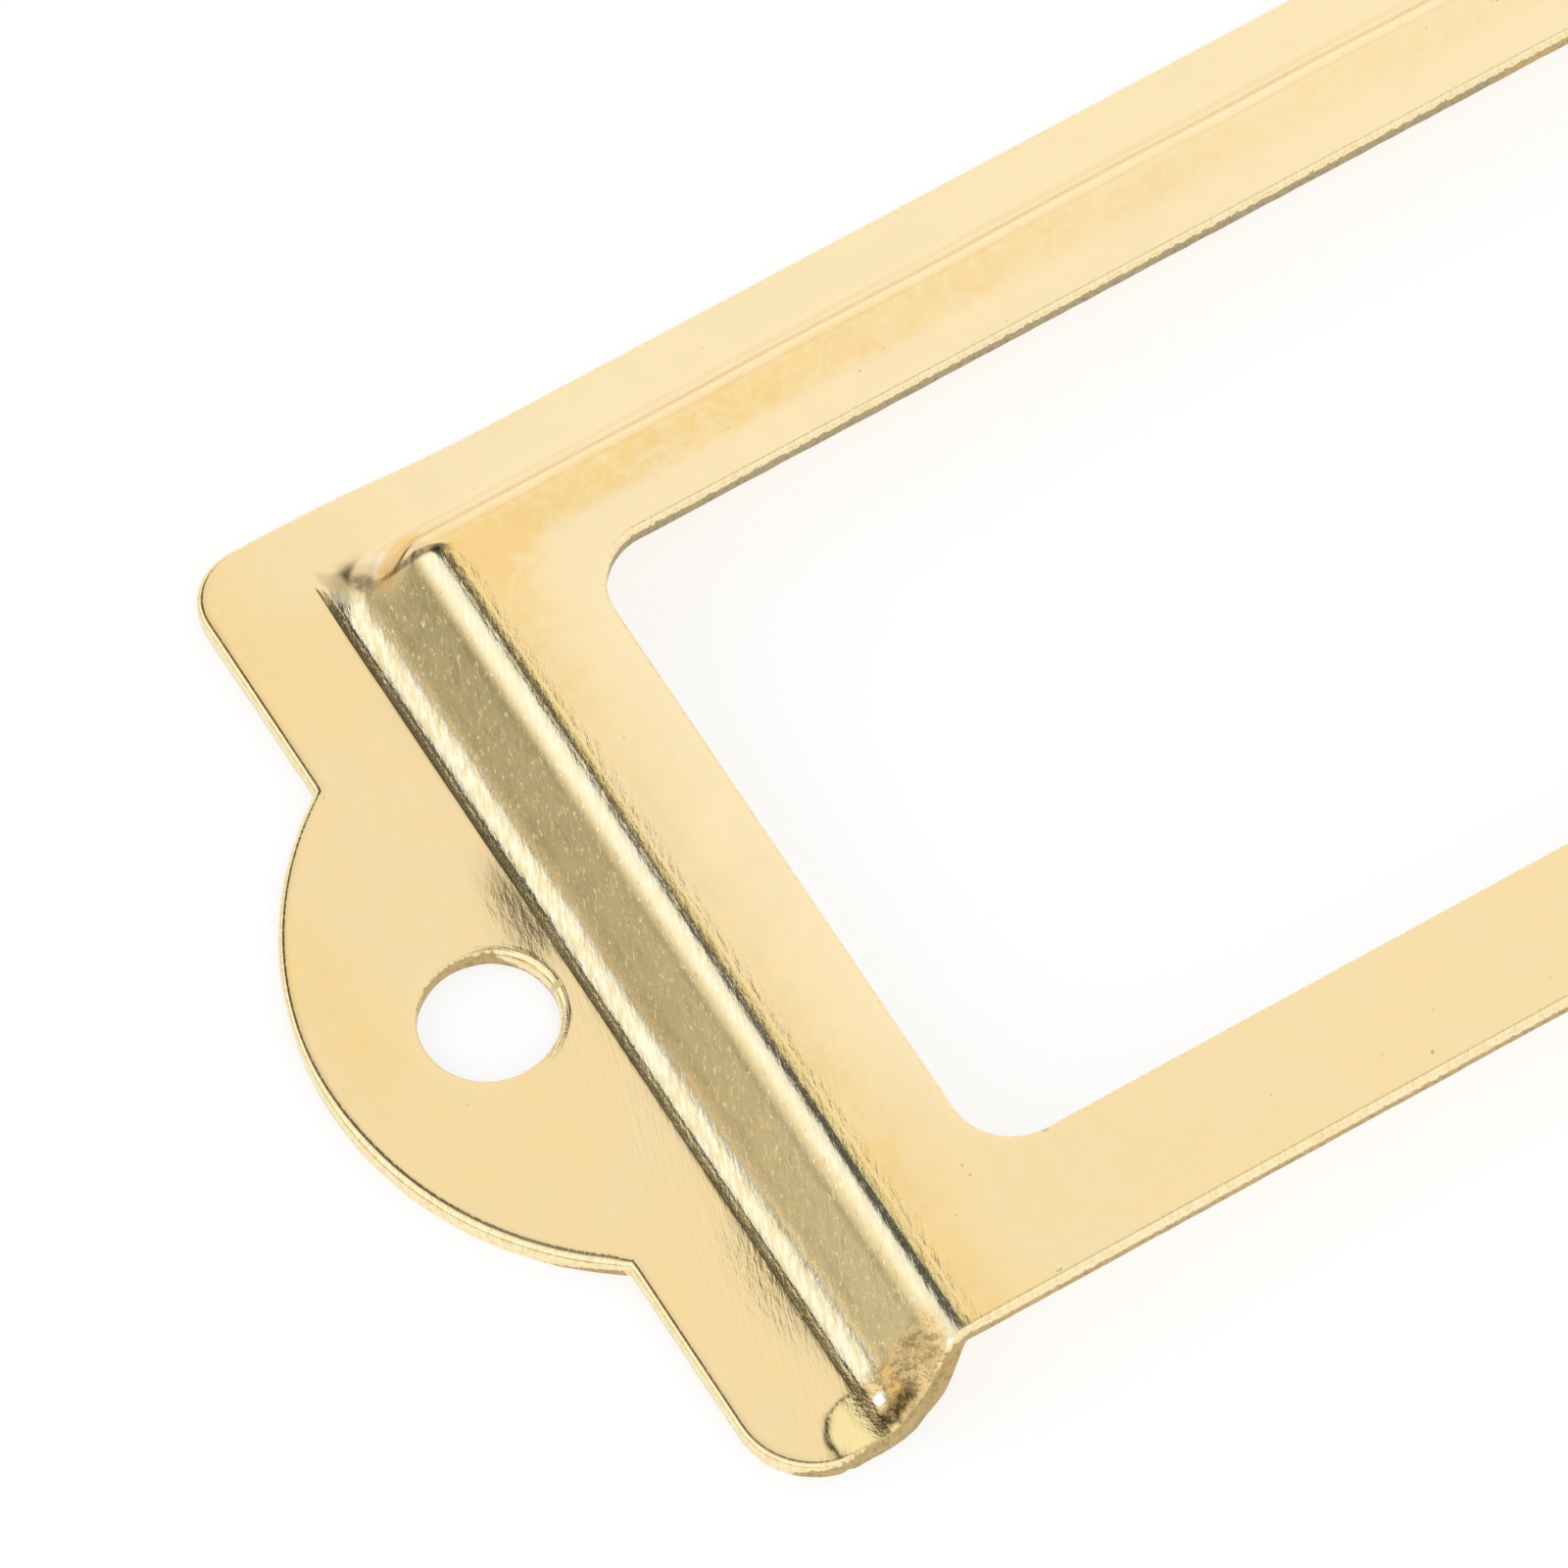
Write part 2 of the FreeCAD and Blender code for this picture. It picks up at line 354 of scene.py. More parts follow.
def spaced(*stops):
    """Values from the first stop on, where each stop is (value, spacing up to the next one)."""
    values = []
    for (a, gap), (b, _) in zip(stops, stops[1:]):
        n = max(1, round((b - a) / gap))
        values.extend(a + (b - a) * np.arange(n) / n)
    return np.array(values + [stops[-1][0]])


def crossings(xs, ys):
    """All points of a grid, one per row."""
    return np.array(np.meshgrid(xs, ys)).reshape(2, -1).T


def grid(fine):
    """Plan points of a grid whose lines crowd at the bends; fine is the spacing there."""
    right = spaced((0, 0.8), (30.0, 0.4), (CROWN_X - 0.6, 2 * fine), (CROWN_X - 0.1, fine),
                   (FOOT_X + 0.1, 2 * fine), (FOOT_X + 0.8, 0.4), (42, 0.4))
    xs = np.concatenate([-right[:0:-1], right])
    ys_end = spaced((-13, 1.5 * fine), (13, 1))
    ys_mid = spaced((-13, 0.5), (CROWN_Y - 0.5, 2 * fine), (CROWN_Y, fine), (FOOT_Y, 2 * fine), (13, 1))
    at_bend = (np.abs(xs) > CROWN_X - 0.7) & (np.abs(xs) < FOOT_X + 0.9)
    points = np.vstack([crossings(xs[at_bend], ys_end), crossings(xs[~at_bend], ys_mid)])
    for x0, x1, y0, y1 in PATCHES:
        for side in (-1, 1):
            u, v = points[:, 0] * side, points[:, 1]
            clear = (u < x0 - fine) | (u > x1 + fine) | (v < y0 - fine) | (v > y1 + fine)
            patch = crossings(np.arange(x0, x1, fine * 0.75), np.arange(y0, y1, fine * 0.75))
            points = np.vstack([points[clear], patch * (side, 1)])
    return points


def inside(points, loops):
    """Even-odd test of points against closed loops."""
    hit = np.zeros(len(points), bool)
    for loop in loops:
        for p0, p1 in zip(loop, np.roll(loop, -1, 0)):
            if p0[1] == p1[1]:
                continue
            span = (points[:, 1] >= min(p0[1], p1[1])) & (points[:, 1] < max(p0[1], p1[1]))
            where = p0[0] + (points[span, 1] - p0[1]) * (p1[0] - p0[0]) / (p1[1] - p0[1])
            hit[span] ^= where > points[span, 0]
    return hit


def fill(loops, points, gap):
    """Triangles over the metal within the loops. Returns all plan points, the loops' first."""
    points = points[inside(points, loops)]
    rim = np.vstack(loops)
    tree = KDTree(len(rim))
    for i, p in enumerate(rim):
        tree.insert((p[0], p[1], 0), i)
    tree.balance()
    clear = [tree.find((p[0], p[1], 0))[2] > gap for p in points]
    everything = np.vstack([rim, points[clear]])
    edges, start = [], 0
    for loop in loops:
        n = len(loop)
        edges += [(start + i, start + (i + 1) % n) for i in range(n)]
        start += n
    flat = [Vector(p) for p in everything]
    _, _, faces, origin, _, _ = delaunay_2d_cdt(flat, edges, [], 2, SAME_POINT)
    first = [o[0] for o in origin]
    faces = np.array([[first[v] for v in f] for f in faces])
    faces = faces[inside(everything[faces].mean(1), loops)]
    corner = everything[faces]
    a, b = corner[:, 1] - corner[:, 0], corner[:, 2] - corner[:, 0]
    turned = a[:, 0] * b[:, 1] - a[:, 1] * b[:, 0] < 0
    faces[turned] = faces[turned][:, ::-1]
    return everything, faces


# The sheet: strips round the cut edges, and the front and back between them

OUTLINE, WINDOW, HOLE_LEFT, HOLE_RIGHT = range(4)

# Turns at which the rounded front edge has a ring, and how far inside the edge the strips end
ROLL_TURNS = np.radians([90, 74, 58, 42, 26, 12, 0])
RING_BEYOND = 0.30
BACK_RING = 0.04

# Edges that turn more than this stay sharp
SHARP_TURN = math.radians(50)

# The cut face: two rings where it tears, and how far the torn part is pulled in
TEAR_FROM, TEAR_TO = 0.27, 0.33
TEAR_SOFT, TEAR_NOISE, TEAR_SHARP = 0.03, (0.25, 11), 0.02
PULLED_IN, PULLED_UNEVEN, PULLED_NOISE, PULLED_LEAST = 0.018, 0.008, (0.4, 12), 0.005

# Depth at which a cut face tears: on the window; on the outline, what is added where it faces up, and at
# the run-out; round a hole, and what is added where it faces down or towards the step
TORN_WINDOW = 0.15
TORN_OUTLINE, TORN_OUTLINE_UP, TORN_RUN_OUT = 0.24, 0.4, -0.1
TORN_HOLE, TORN_HOLE_DOWN, TORN_HOLE_STEP = 0.07, -0.04, 0.35

# Rounding of the front edges, and what is added at the lobes and on a hole's side towards the step
ROLL_OUTLINE, ROLL_LOBE, ROLL_WINDOW = 0.15, 0.08, 0.13
ROLL_HOLE, ROLL_HOLE_STEP = 0.055, 0.185

# Lengths along the edges start this much later on each next outline
ALONG_APART = 40

# Finest spacing, distance kept from the strips, and depth below the front, for the front and the back
FRONT_FILL = (0.075, 0.11, 0)
BACK_FILL = (0.12, 0.15, SHEET)


class Sheet:
    """Collects vertices, faces and what the material reads of each vertex near a cut edge."""

    def __init__(self):
        self.points, self.faces = [], []
        self.marks = {"edge_depth": [], "along": [], "torn_from": []}
        self.count = 0

    def add(self, plan, depth, **marks):
        """Vertices at a depth below the front, square to it."""
        x, y = plan[:, 0], plan[:, 1]
        top = np.column_stack([x, y, front_height(x, y)])
        start = self.count
        placed = top - front_normal(x, y) * np.reshape(depth, (-1, 1))
        self.points.append(np.clip(placed, BOX_LOW, BOX_HIGH))
        for name, values in self.marks.items():
            values.append(np.broadcast_to(marks.get(name, 0.0), len(plan)))
        self.count += len(plan)
        return start + np.arange(len(plan))

    def strip(self, lower, upper):
        """Faces between two rings of the same outline."""
        self.faces.extend(np.column_stack([lower, np.roll(lower, -1), np.roll(upper, -1), upper]).tolist())


def torn_from(number, loop, into):
    """Depth below the front at which the burnished part of a cut face ends and the torn part begins."""
    if number == WINDOW:
        return np.full(len(loop), TORN_WINDOW)
    facing_down = into[:, 1] / np.linalg.norm(into, axis=1)
    if number in (HOLE_LEFT, HOLE_RIGHT):
        towards_step = -np.sign(loop[:, 0]) * into[:, 0]
        down, step = ease(facing_down, 0.3, 0.9), ease(towards_step, 0.5, 0.85)
        return TORN_HOLE + TORN_HOLE_DOWN * down + TORN_HOLE_STEP * step
    start = TORN_OUTLINE + TORN_OUTLINE_UP * (1 - ease(facing_down, 0.55, 0.85))
    at_run_out = hump(np.abs(loop[:, 0]), FOOT_X - 0.5, 2.8) * ease(-loop[:, 1], 12, 12.3)
    return start * (1 - at_run_out) + TORN_RUN_OUT * at_run_out


def roll_radius(number, loop, into):
    """Rounding of a front edge, wider at the lobes, and round a hole widest on the side of the step."""
    if number == OUTLINE:
        low_lobe = ease(np.abs(loop[:, :1]), EAR_X, EAR_X + 0.4) * ease(-loop[:, 1:], -2.0, 1.5)
        return ROLL_OUTLINE + ROLL_LOBE * low_lobe
    if number == WINDOW:
        return np.full((len(loop), 1), ROLL_WINDOW)
    towards_step = -np.sign(loop[:, :1]) * into[:, :1]
    return ROLL_HOLE + ROLL_HOLE_STEP * ease(towards_step, 0.1, 0.9)


def edge_strips(sheet, number, loop):
    """Rings over one cut edge, from the front to the back. Returns the inner outline and its two rings."""
    into = inward(loop)
    steps = np.linalg.norm(np.roll(loop, -1, 0) - loop, axis=1)
    along = np.cumsum(steps) - steps + ALONG_APART * number
    edge = {"along": along, "torn_from": torn_from(number, loop, into)}
    radius = roll_radius(number, loop, into)
    beyond = loop + into * RING_BEYOND
    rows = []
    for turn in ROLL_TURNS:
        depth = radius[:, 0] * (1 - math.cos(turn))
        rows.append(sheet.add(loop + into * radius * (1 - math.sin(turn)), depth, edge_depth=depth, **edge))
    front_ring = sheet.add(beyond, 0, **edge)
    for outer, inner in zip(rows, rows[1:] + [front_ring]):
        sheet.strip(outer, inner)
    x, y = loop[:, 0], loop[:, 1]
    ragged = TEAR_SOFT * soft_noise(x, y, *TEAR_NOISE) + TEAR_SHARP * rng.uniform(-1, 1, len(loop))
    uneven = PULLED_IN + PULLED_UNEVEN * soft_noise(x, y, *PULLED_NOISE)
    pulled_in = np.maximum(uneven, PULLED_LEAST)[:, None]
    above = rows[0]
    for depth, pulled in ((TEAR_FROM + ragged, 0.3), (TEAR_TO + ragged, 1.0), (SHEET, 1.0)):
        depth = np.broadcast_to(depth, len(loop))
        below = sheet.add(loop + into * pulled_in * pulled, depth, edge_depth=depth, **edge)
        sheet.strip(below, above)
        above = below
    for width in (BACK_RING, RING_BEYOND):
        back_ring = sheet.add(loop + into * width, SHEET)
        sheet.strip(back_ring, above)
        above = back_ring
    return beyond, front_ring, back_ring


def make_sheet():
    """The bent sheet's mesh and its object."""
    sheet = Sheet()
    loops = [outline(), window(), hole(-1), hole(1)]
    rims, front_rings, back_rings = zip(*[edge_strips(sheet, n, loop) for n, loop in enumerate(loops)])
    for rings, (fine, gap, depth) in ((front_rings, FRONT_FILL), (back_rings, BACK_FILL)):
        plan, triangles = fill(rims, grid(fine), gap)
        on_rim = np.concatenate(rings)
        new = sheet.add(plan[len(on_rim):], depth)
        triangles = np.concatenate([on_rim, new])[triangles]
        sheet.faces.extend((triangles[:, ::-1] if depth else triangles).tolist())
    mesh = bpy.data.meshes.new("bent_sheet")
    mesh.from_pydata((np.vstack(sheet.points) * MM).tolist(), [], sheet.faces)
    mesh.polygons.foreach_set("use_smooth", [True] * len(mesh.polygons))
    mesh.set_sharp_from_angle(angle=SHARP_TURN)
    for name, values in sheet.marks.items():
        mesh.attributes.new(name, "FLOAT", "POINT").data.foreach_set("value", np.concatenate(values))
    piece = bpy.data.objects.new("bent_sheet", mesh)
    bpy.context.scene.collection.objects.link(piece)
    return piece


# Short ways to build materials

def nodes_of(name):
    mat = bpy.data.materials.new(name)
    mat.use_nodes = True
    tree = mat.node_tree
    tree.nodes.clear()
    return mat, tree


class Graph:
    """Short ways to add nodes to one tree."""

    def __init__(self, tree):
        self.tree = tree

    def node(self, kind, **settings):
        node = self.tree.nodes.new(kind)
        for key, value in settings.items():
            setattr(node, key, value)
        return node

    def put(self, socket, value):
        """Links a node's output to a socket, or sets the socket's own value."""
        if isinstance(value, bpy.types.NodeSocket):
            self.tree.links.new(value, socket)
        elif value is not None:
            socket.default_value = value

    def calc(self, op, a, b=None):
        node = self.node("ShaderNodeMath", operation=op)
        for socket, value in zip(node.inputs, (a, b)):
            self.put(socket, value)
        return node.outputs[0]

    def many(self, op, values):
        result = values[0]
        for value in values[1:]:
            result = self.calc(op, result, value)
        return result

    def times(self, *values):
        return self.many("MULTIPLY", values)

    def plus(self, *values):
        return self.many("ADD", values)

    def larger(self, *values):
        return self.many("MAXIMUM", values)

    def minus(self, a, b):
        return self.calc("SUBTRACT", a, b)

    def distance(self, a, b):
        return self.calc("SQRT", self.plus(self.times(a, a), self.times(b, b)))

    def ramp(self, value, start, end, low=0.0, high=1.0):
        """low before start, high after end, smooth between."""
        node = self.node("ShaderNodeMapRange", interpolation_type="SMOOTHSTEP")
        for key, number in (("From Min", start), ("From Max", end), ("To Min", low), ("To Max", high)):
            node.inputs[key].default_value = number
        self.put(node.inputs["Value"], value)
        return node.outputs[0]

    def band(self, value, start, full, last, end):
        """1 from full to last, 0 before start and after end."""
        return self.times(self.ramp(value, start, full), self.ramp(value, end, last))

    def split(self, vector):
        node = self.node("ShaderNodeSeparateXYZ")
        self.put(node.inputs[0], vector)
        return node.outputs

    def joined(self, *parts):
        node = self.node("ShaderNodeCombineXYZ")
        for socket, value in zip(node.inputs, parts):
            self.put(socket, value)
        return node.outputs[0]

    def place(self):
        """Position on the object in millimetres."""
        node = self.node("ShaderNodeVectorMath", operation="SCALE")
        self.put(node.inputs[0], self.node("ShaderNodeTexCoord").outputs["Object"])
        node.inputs["Scale"].default_value = 1 / MM
        return node.outputs[0]

    def noise(self, place, detail, rough, warp=0.0):
        node = self.node("ShaderNodeTexNoise")
        self.put(node.inputs["Vector"], place)
        for key, number in (("Scale", 1.0), ("Detail", detail), ("Roughness", rough), ("Distortion", warp)):
            node.inputs[key].default_value = number
        return node.outputs["Fac"]

    def texture(self, place, per_mm, turn, detail, rough, warp):
        """Noise with so many features per millimetre each way, turned about Z."""
        turned = self.node("ShaderNodeVectorRotate", rotation_type="Z_AXIS")
        self.put(turned.inputs["Vector"], place)
        turned.inputs["Angle"].default_value = turn
        node = self.node("ShaderNodeVectorMath", operation="MULTIPLY")
        self.put(node.inputs[0], turned.outputs[0])
        node.inputs[1].default_value = per_mm
        return self.noise(node.outputs[0], detail, rough, warp)

    def mark(self, name):
        return self.node("ShaderNodeAttribute", attribute_name=name).outputs["Fac"]

    def mix(self, share, a, b):
        """Colour a where the share is 0 and b where it is 1."""
        node = self.node("ShaderNodeMix", data_type="RGBA", blend_type="MIX")
        self.put(node.inputs[0], share)
        for socket, value in ((node.inputs[6], a), (node.inputs[7], b)):
            self.put(socket, (*value, 1) if isinstance(value, tuple) else value)
        return node.outputs[2]


# Plating

GOLD = (0.945, 0.725, 0.378)
PALE_GOLD = (0.995, 0.815, 0.500)
WARM_GOLD = (0.960, 0.680, 0.285)
RIPPLE_GOLD = (0.830, 0.600, 0.275)
# Painted shade for the end step's wall, this colour and the next
WALL_SHADE_GOLD = (0.710, 0.575, 0.300)
WALL_SHADE_OLIVE = (0.535, 0.435, 0.215)
YELLOW_GOLD = (1.000, 0.820, 0.395)
# Painted highlight for the glints
GLINT_WHITE = (1.000, 0.980, 0.920)
# Painted highlights along the bends' crests, this colour and the next
CREST_HIGHLIGHT_DIM = (0.850, 0.725, 0.430)
CREST_HIGHLIGHT_WHITE = (0.960, 0.910, 0.680)
# Painted highlight for the bright flecks on the wall
FLECK_HIGHLIGHT = (1.000, 0.910, 0.640)
# Painted shade in the sharpest part of each bend
BEND_SHADE_GOLD = (0.900, 0.670, 0.240)
# Painted reflection tones for the step's corner and where it faces the lip, this colour and the next
CORNER_REFLECTION_GREY = (0.780, 0.610, 0.360)
REFLECTION_CLEAR = (1.000, 0.975, 0.940)
UMBER_GOLD = (0.440, 0.320, 0.140)
# Painted shade in the notch
NOTCH_SHADE = (0.080, 0.050, 0.015)
BRIGHT_CUT = (0.985, 0.850, 0.520)
BARE_BROWN = (0.465, 0.370, 0.210)
OLIVE_CUT = (0.600, 0.440, 0.190)
# Dark brown: painted shade at the corner's top and foot and along the fan's rim, and also the real dark
# specks and torn metal
DARK_BROWN = (0.200, 0.150, 0.080)

# Turns of the stroke patterns from the frame's axes
STROKE_TURN, COMB_TURN, RIPPLE_TURN = math.radians(-17), math.radians(-21), math.radians(35)

# Patterns: features per millimetre along X, Y and Z, turn, detail, roughness and distortion. Those in
# ON_BOTH_ENDS run the same way on both ends of the frame, mirrored.
PATTERNS = {
    "cloud": ((0.4, 0.4, 0.4), 0.5, 4, 0.6, 1.0),
    "blotch": ((1.2, 1.2, 1.2), 0.7, 5, 0.7, 1.5),
    "grain": ((9, 9, 9), 0, 4, 0.7, 0),
    "strokes": ((8.0, 2.6, 0.5), STROKE_TURN, 3, 0.65, 0),
    "comb": ((13, 2.4, 0.5), COMB_TURN, 2, 0.6, 0),
    "sparkle_flecks": ((13, 5.5, 0), STROKE_TURN, 1, 0.6, 0),
    "ripples": ((7, 3.0, 1), RIPPLE_TURN, 3, 0.75, 0),
    "mark_breakup": ((5, 5, 5), 0, 3, 0.8, 0),
    "specks": ((3.1, 2.3, 3), 0, 2, 0.9, 0),
    "streaks": ((4.5, 1.1, 2), 0, 3, 0.8, 0.5),
    "dashes": ((10, 3.2, 0), STROKE_TURN, 1, 0.6, 0),
    "mottle": ((2.4, 1.6, 0.5), 0, 3, 0.65, 0),
    "scuffs": ((11, 1.1, 0), STROKE_TURN, 2, 0.7, 0),
}
ON_BOTH_ENDS = {"strokes", "comb", "sparkle_flecks", "ripples", "dashes", "scuffs"}

# Stretches of one coordinate, in millimetres: the coordinate, and where the stretch starts, is full, is
# last full and ends. past_end counts outwards from the end step's crown line, past_closed from the closed
# step's, past_hip from the corner between them, and past_scoop from that corner where it is scooped out.
STRETCHES = {
    "wall": ("past_end", 0.44, 0.84, 1.64, 1.87),
    "crown_bend": ("past_end", -0.45, 0.0, 0.25, 0.7),
    "foot_bend": ("past_end", 1.5, 1.75, 2.3, 2.5),
    "crown_crest": ("past_end", 0.05, 0.3, 0.5, 0.78),
    "foot_crest": ("past_end", 1.74, 1.9, 2.35, 2.5),
    "crown_sharp": ("past_end", -0.03, 0.05, 0.2, 0.28),
    "foot_sharp": ("past_end", 2.27, 2.34, 2.43, 2.5),
    "flecked": ("past_end", 0.35, 0.6, 1.8, 1.95),
    "drag_high": ("up_y", 0.2, 1.2, 2.0, 4.0),
    "drag_low": ("up_y", -11.0, -9.0, -7.6, -5.5),
    "beside_foot": ("past_end", 2.3, 2.5, 2.8, 3.9),
    "scuffed": ("past_end", 2.3, 2.6, 3.6, 4.6),
    "run_out": ("past_end", 0.3, 0.9, 2.4, 2.9),
    "warm_crease": ("past_closed", -0.95, -0.4, 0.4, 0.8),
    "warm_crown": ("past_end", -1.9, -0.3, -0.1, 0.1),
    "lobe_rim": ("out_x", 39.2, 40.6, 41.0, 41.8),
    "lobe_middle": ("up_y", -2.0, 1.0, 3.0, 6.0),
    "panel_corner_x": ("past_end", -2.4, -1.0, -0.4, 0.0),
    "panel_corner_y": ("past_closed", -1.7, -0.8, -0.3, 0.2),
    "facing_lip": ("past_closed", 0.95, 1.15, 1.62, 1.76),
    "corner_step_y": ("past_scoop", 0.12, 0.28, 0.6, 0.95),
    "corner_step_x": ("past_end", 0.25, 0.6, 1.6, 2.0),
    "corner_wall_y": ("past_scoop", 0.35, 0.55, 1.0, 1.3),
    "corner_wall_x": ("past_end", 0.2, 0.4, 1.0, 1.3),
    "hook_y": ("past_scoop", -0.14, -0.03, 0.07, 0.18),
    "hook_x": ("past_end", -0.1, 0.15, 1.2, 1.6),
    "corner_foot_y": ("past_hip", -0.65, -0.35, -0.15, 0.25),
    "corner_foot_x": ("past_end", 1.3, 1.5, 1.7, 1.95),
    "corner_line_y": ("past_hip", -1.0, -0.7, -0.1, 0.2),
    "corner_line_x": ("past_end", 1.75, 1.95, 2.2, 2.4),
    "notch_x": ("past_end", 1.35, 1.8, 2.2, 2.65),
    "notch_y": ("up_y", -12.55, -12.42, -12.25, -11.98),
    "run_out_cut": ("past_end", 0.0, 0.5, 2.2, 3.0),
}

# Rises and falls along one coordinate: where it begins and is complete, and the values before and after
RISES = {
    "scoop": ("past_end", 0.1, 1.1, 0.0, 0.36),
    "below_hip": ("past_scoop", 0.1, -0.2, 0.0, 1.0),
    "run_out": ("up_y", -11.0, -11.6, 0.0, 1.0),
    "warm_outwards": ("out_x", 12, 28, 0.3, 0.85),
    "warm_before_step": ("past_end", 0.4, 0.0, 0.0, 1.0),
    "warm_low": ("up_y", -1.0, -8, 0.2, 0.7),
    "warm_high": ("up_y", 2.0, 8.5, 0.2, 0.85),
    "warm_before_lip": ("past_closed", 0.35, 0.0, 0.0, 1.0),
    "ear": ("out_x", 36.4, 38.2, 0.0, 1.0),
    "ear_high": ("up_y", 6.0, 11.0, 0.0, 0.5),
    "lip": ("past_closed", 1.2, 2.0, 0.0, 1.0),
    "lip_inwards": ("out_x", 38, 31, 0.25, 1.0),
    "bars": ("out_x", 34.2, 32.2, 0.0, 1.0),
    "bars_high": ("up_y", -9.5, -5, 0.2, 0.95),
    "before_corner": ("past_end", 0.3, -0.2, 0.0, 1.0),
    "wall_shade_olive": ("up_y", -9, 8, 0.0, 0.9),
    "crown_smooth": ("past_end", 1.5, 1.0, 0.0, 0.55),
    "fan": ("past_end", 2.4, 2.6, 0.0, 1.0),
    "fan_edge": ("out_x", 35.9, 36.1, 0.0, 1.0),
    "run_out_cut": ("up_y", -11, -11.5, 0.0, 1.0),
    "scuffed": ("up_y", 3, 0, 0.0, 1.0),
}

# Painted highlights: small bright places painted where the run-out's bends catch the light: x, y and radius
PAINTED_GLINTS = ((35.62, -11.86, 0.17), (34.09, -12.27, 0.13))

# Lengths along the edges from which the torn metal is olive and no longer brown
OLIVE_FROM, OLIVE_FULL = 79, 80

# The relief's unit
RELIEF_UNIT = 0.01


class Plating:
    """The sheet's one material: coordinates and patterns first, then colour, gloss and relief from them."""

    def __init__(self):
        self.material, tree = nodes_of("plated_sheet")
        self.g = g = Graph(tree)
        self.where = g.place()
        x, up_y, z = g.split(self.where)
        out_x = g.calc("ABSOLUTE", x)
        past_end, past_closed = g.minus(out_x, CROWN_X), g.minus(up_y, CROWN_Y)
        hip_slope = (FOOT_Y - CROWN_Y) / (FOOT_X - CROWN_X)
        past_hip = g.minus(past_closed, g.times(past_end, hip_slope))
        # The right end takes its patterns one higher, so that the two ends aren't alike mark by mark
        self.on_ends = g.joined(out_x, up_y, g.plus(z, g.calc("GREATER_THAN", x, 0.0)))
        self.at = {"out_x": out_x, "up_y": up_y, "past_end": past_end, "past_closed": past_closed,
                   "past_hip": past_hip}
        self.at["past_scoop"] = g.plus(past_hip, self.rise("scoop"))
        self.depth, self.along = g.mark("edge_depth"), g.mark("along")
        self.teeth = g.noise(g.joined(g.times(self.along, 8.0), g.times(self.depth, 4.0)), 3, 0.7)
        self.cloud, self.grain = self.pattern("cloud"), self.pattern("grain")
        self.ripples = self.pattern("ripples")

        self.below_hip = self.rise("below_hip")
        self.wall = g.times(self.stretch("wall"), self.below_hip)
        self.sharp_bend = g.times(g.larger(self.stretch("crown_sharp"), self.stretch("foot_sharp")),
                                  self.below_hip)
        self.rolled = g.ramp(self.depth, 0.0, 0.02)
        past_burnish = g.plus(self.depth, g.times(g.mark("torn_from"), -1.0),
                              g.ramp(self.teeth, 0.3, 0.7, -0.07, 0.07))
        self.torn = g.times(self.rolled, g.ramp(past_burnish, -0.02, 0.03))
        self.run_out = g.times(self.stretch("run_out"), self.rise("run_out"))

    def pattern(self, name):
        return self.g.texture(self.on_ends if name in ON_BOTH_ENDS else self.where, *PATTERNS[name])

    def stretch(self, name):
        coordinate, *stops = STRETCHES[name]
        return self.g.band(self.at[coordinate], *stops)

    def rise(self, name):
        coordinate, *stops = RISES[name]
        return self.g.ramp(self.at[coordinate], *stops)

    def patch(self, name):
        """A place that is bounded both ways."""
        return self.g.times(self.stretch(name + "_x"), self.stretch(name + "_y"))

    def glint(self, x, y, radius):
        """A small round painted highlight."""
        g = self.g
        away = g.distance(g.minus(self.at["out_x"], x), g.minus(self.at["up_y"], y))
        return g.ramp(away, radius, radius / 2)

    def warmth(self, blotch):
        """Warm patches beside the closed crease, along the crown's line and in the ear's upper corner."""
        g = self.g
        side = g.times(self.stretch("warm_crease"), self.rise("warm_outwards"), self.rise("warm_before_step"))
        end = g.times(self.stretch("warm_crown"), g.larger(self.rise("warm_low"), self.rise("warm_high")),
                      self.rise("warm_before_lip"))
        ear = g.times(self.rise("ear"), self.rise("ear_high"))
        lobe = g.times(self.stretch("lobe_rim"), self.stretch("lobe_middle"), 0.5)
        corner = g.times(self.patch("panel_corner"), 0.6)
        placed = g.times(g.plus(side, end, ear, lobe, corner), g.ramp(blotch, 0.3, 0.65, 0.4, 1.15))
        return g.calc("MINIMUM", g.plus(placed, g.ramp(blotch, 0.5, 0.72, 0.0, 0.10)), 1.0)

    def flat_colour(self):
        """Pale and warm tones of the level parts, the panel and the closed side."""
        g = self.g
        lip = g.times(self.rise("lip"), self.rise("lip_inwards"))
        bars = g.times(self.rise("bars"), self.rise("bars_high"))
        colour = g.mix(g.ramp(self.cloud, 0.35, 0.7, 0.0, 0.45), GOLD, PALE_GOLD)
        colour = g.mix(g.larger(lip, bars), colour, PALE_GOLD)
        return g.mix(self.warmth(self.pattern("blotch")), colour, WARM_GOLD)

    def step_colour(self, colour):
        """Painted reflection tones at the corner and where the step faces the lip, painted shade on the wall
        and in the sharpest bends, painted highlights on the combed crests and as flecks, and the ripples of
        the run-out, over a colour.
        """
        g = self.g
        # Painted reflection: where the step faces the lip and mirrors it, a clear colour is painted so that
        # it doesn't look gilt twice over; the step's corner is painted grey and its wall clearer for the
        # reflections seen there
        facing_lip = g.times(self.stretch("facing_lip"), self.rise("before_corner"), 0.8)
        colour = g.mix(g.times(self.patch("corner_step"), 0.8), colour, CORNER_REFLECTION_GREY)
        colour = g.mix(g.larger(facing_lip, g.times(self.patch("corner_wall"), 0.3)), colour, REFLECTION_CLEAR)
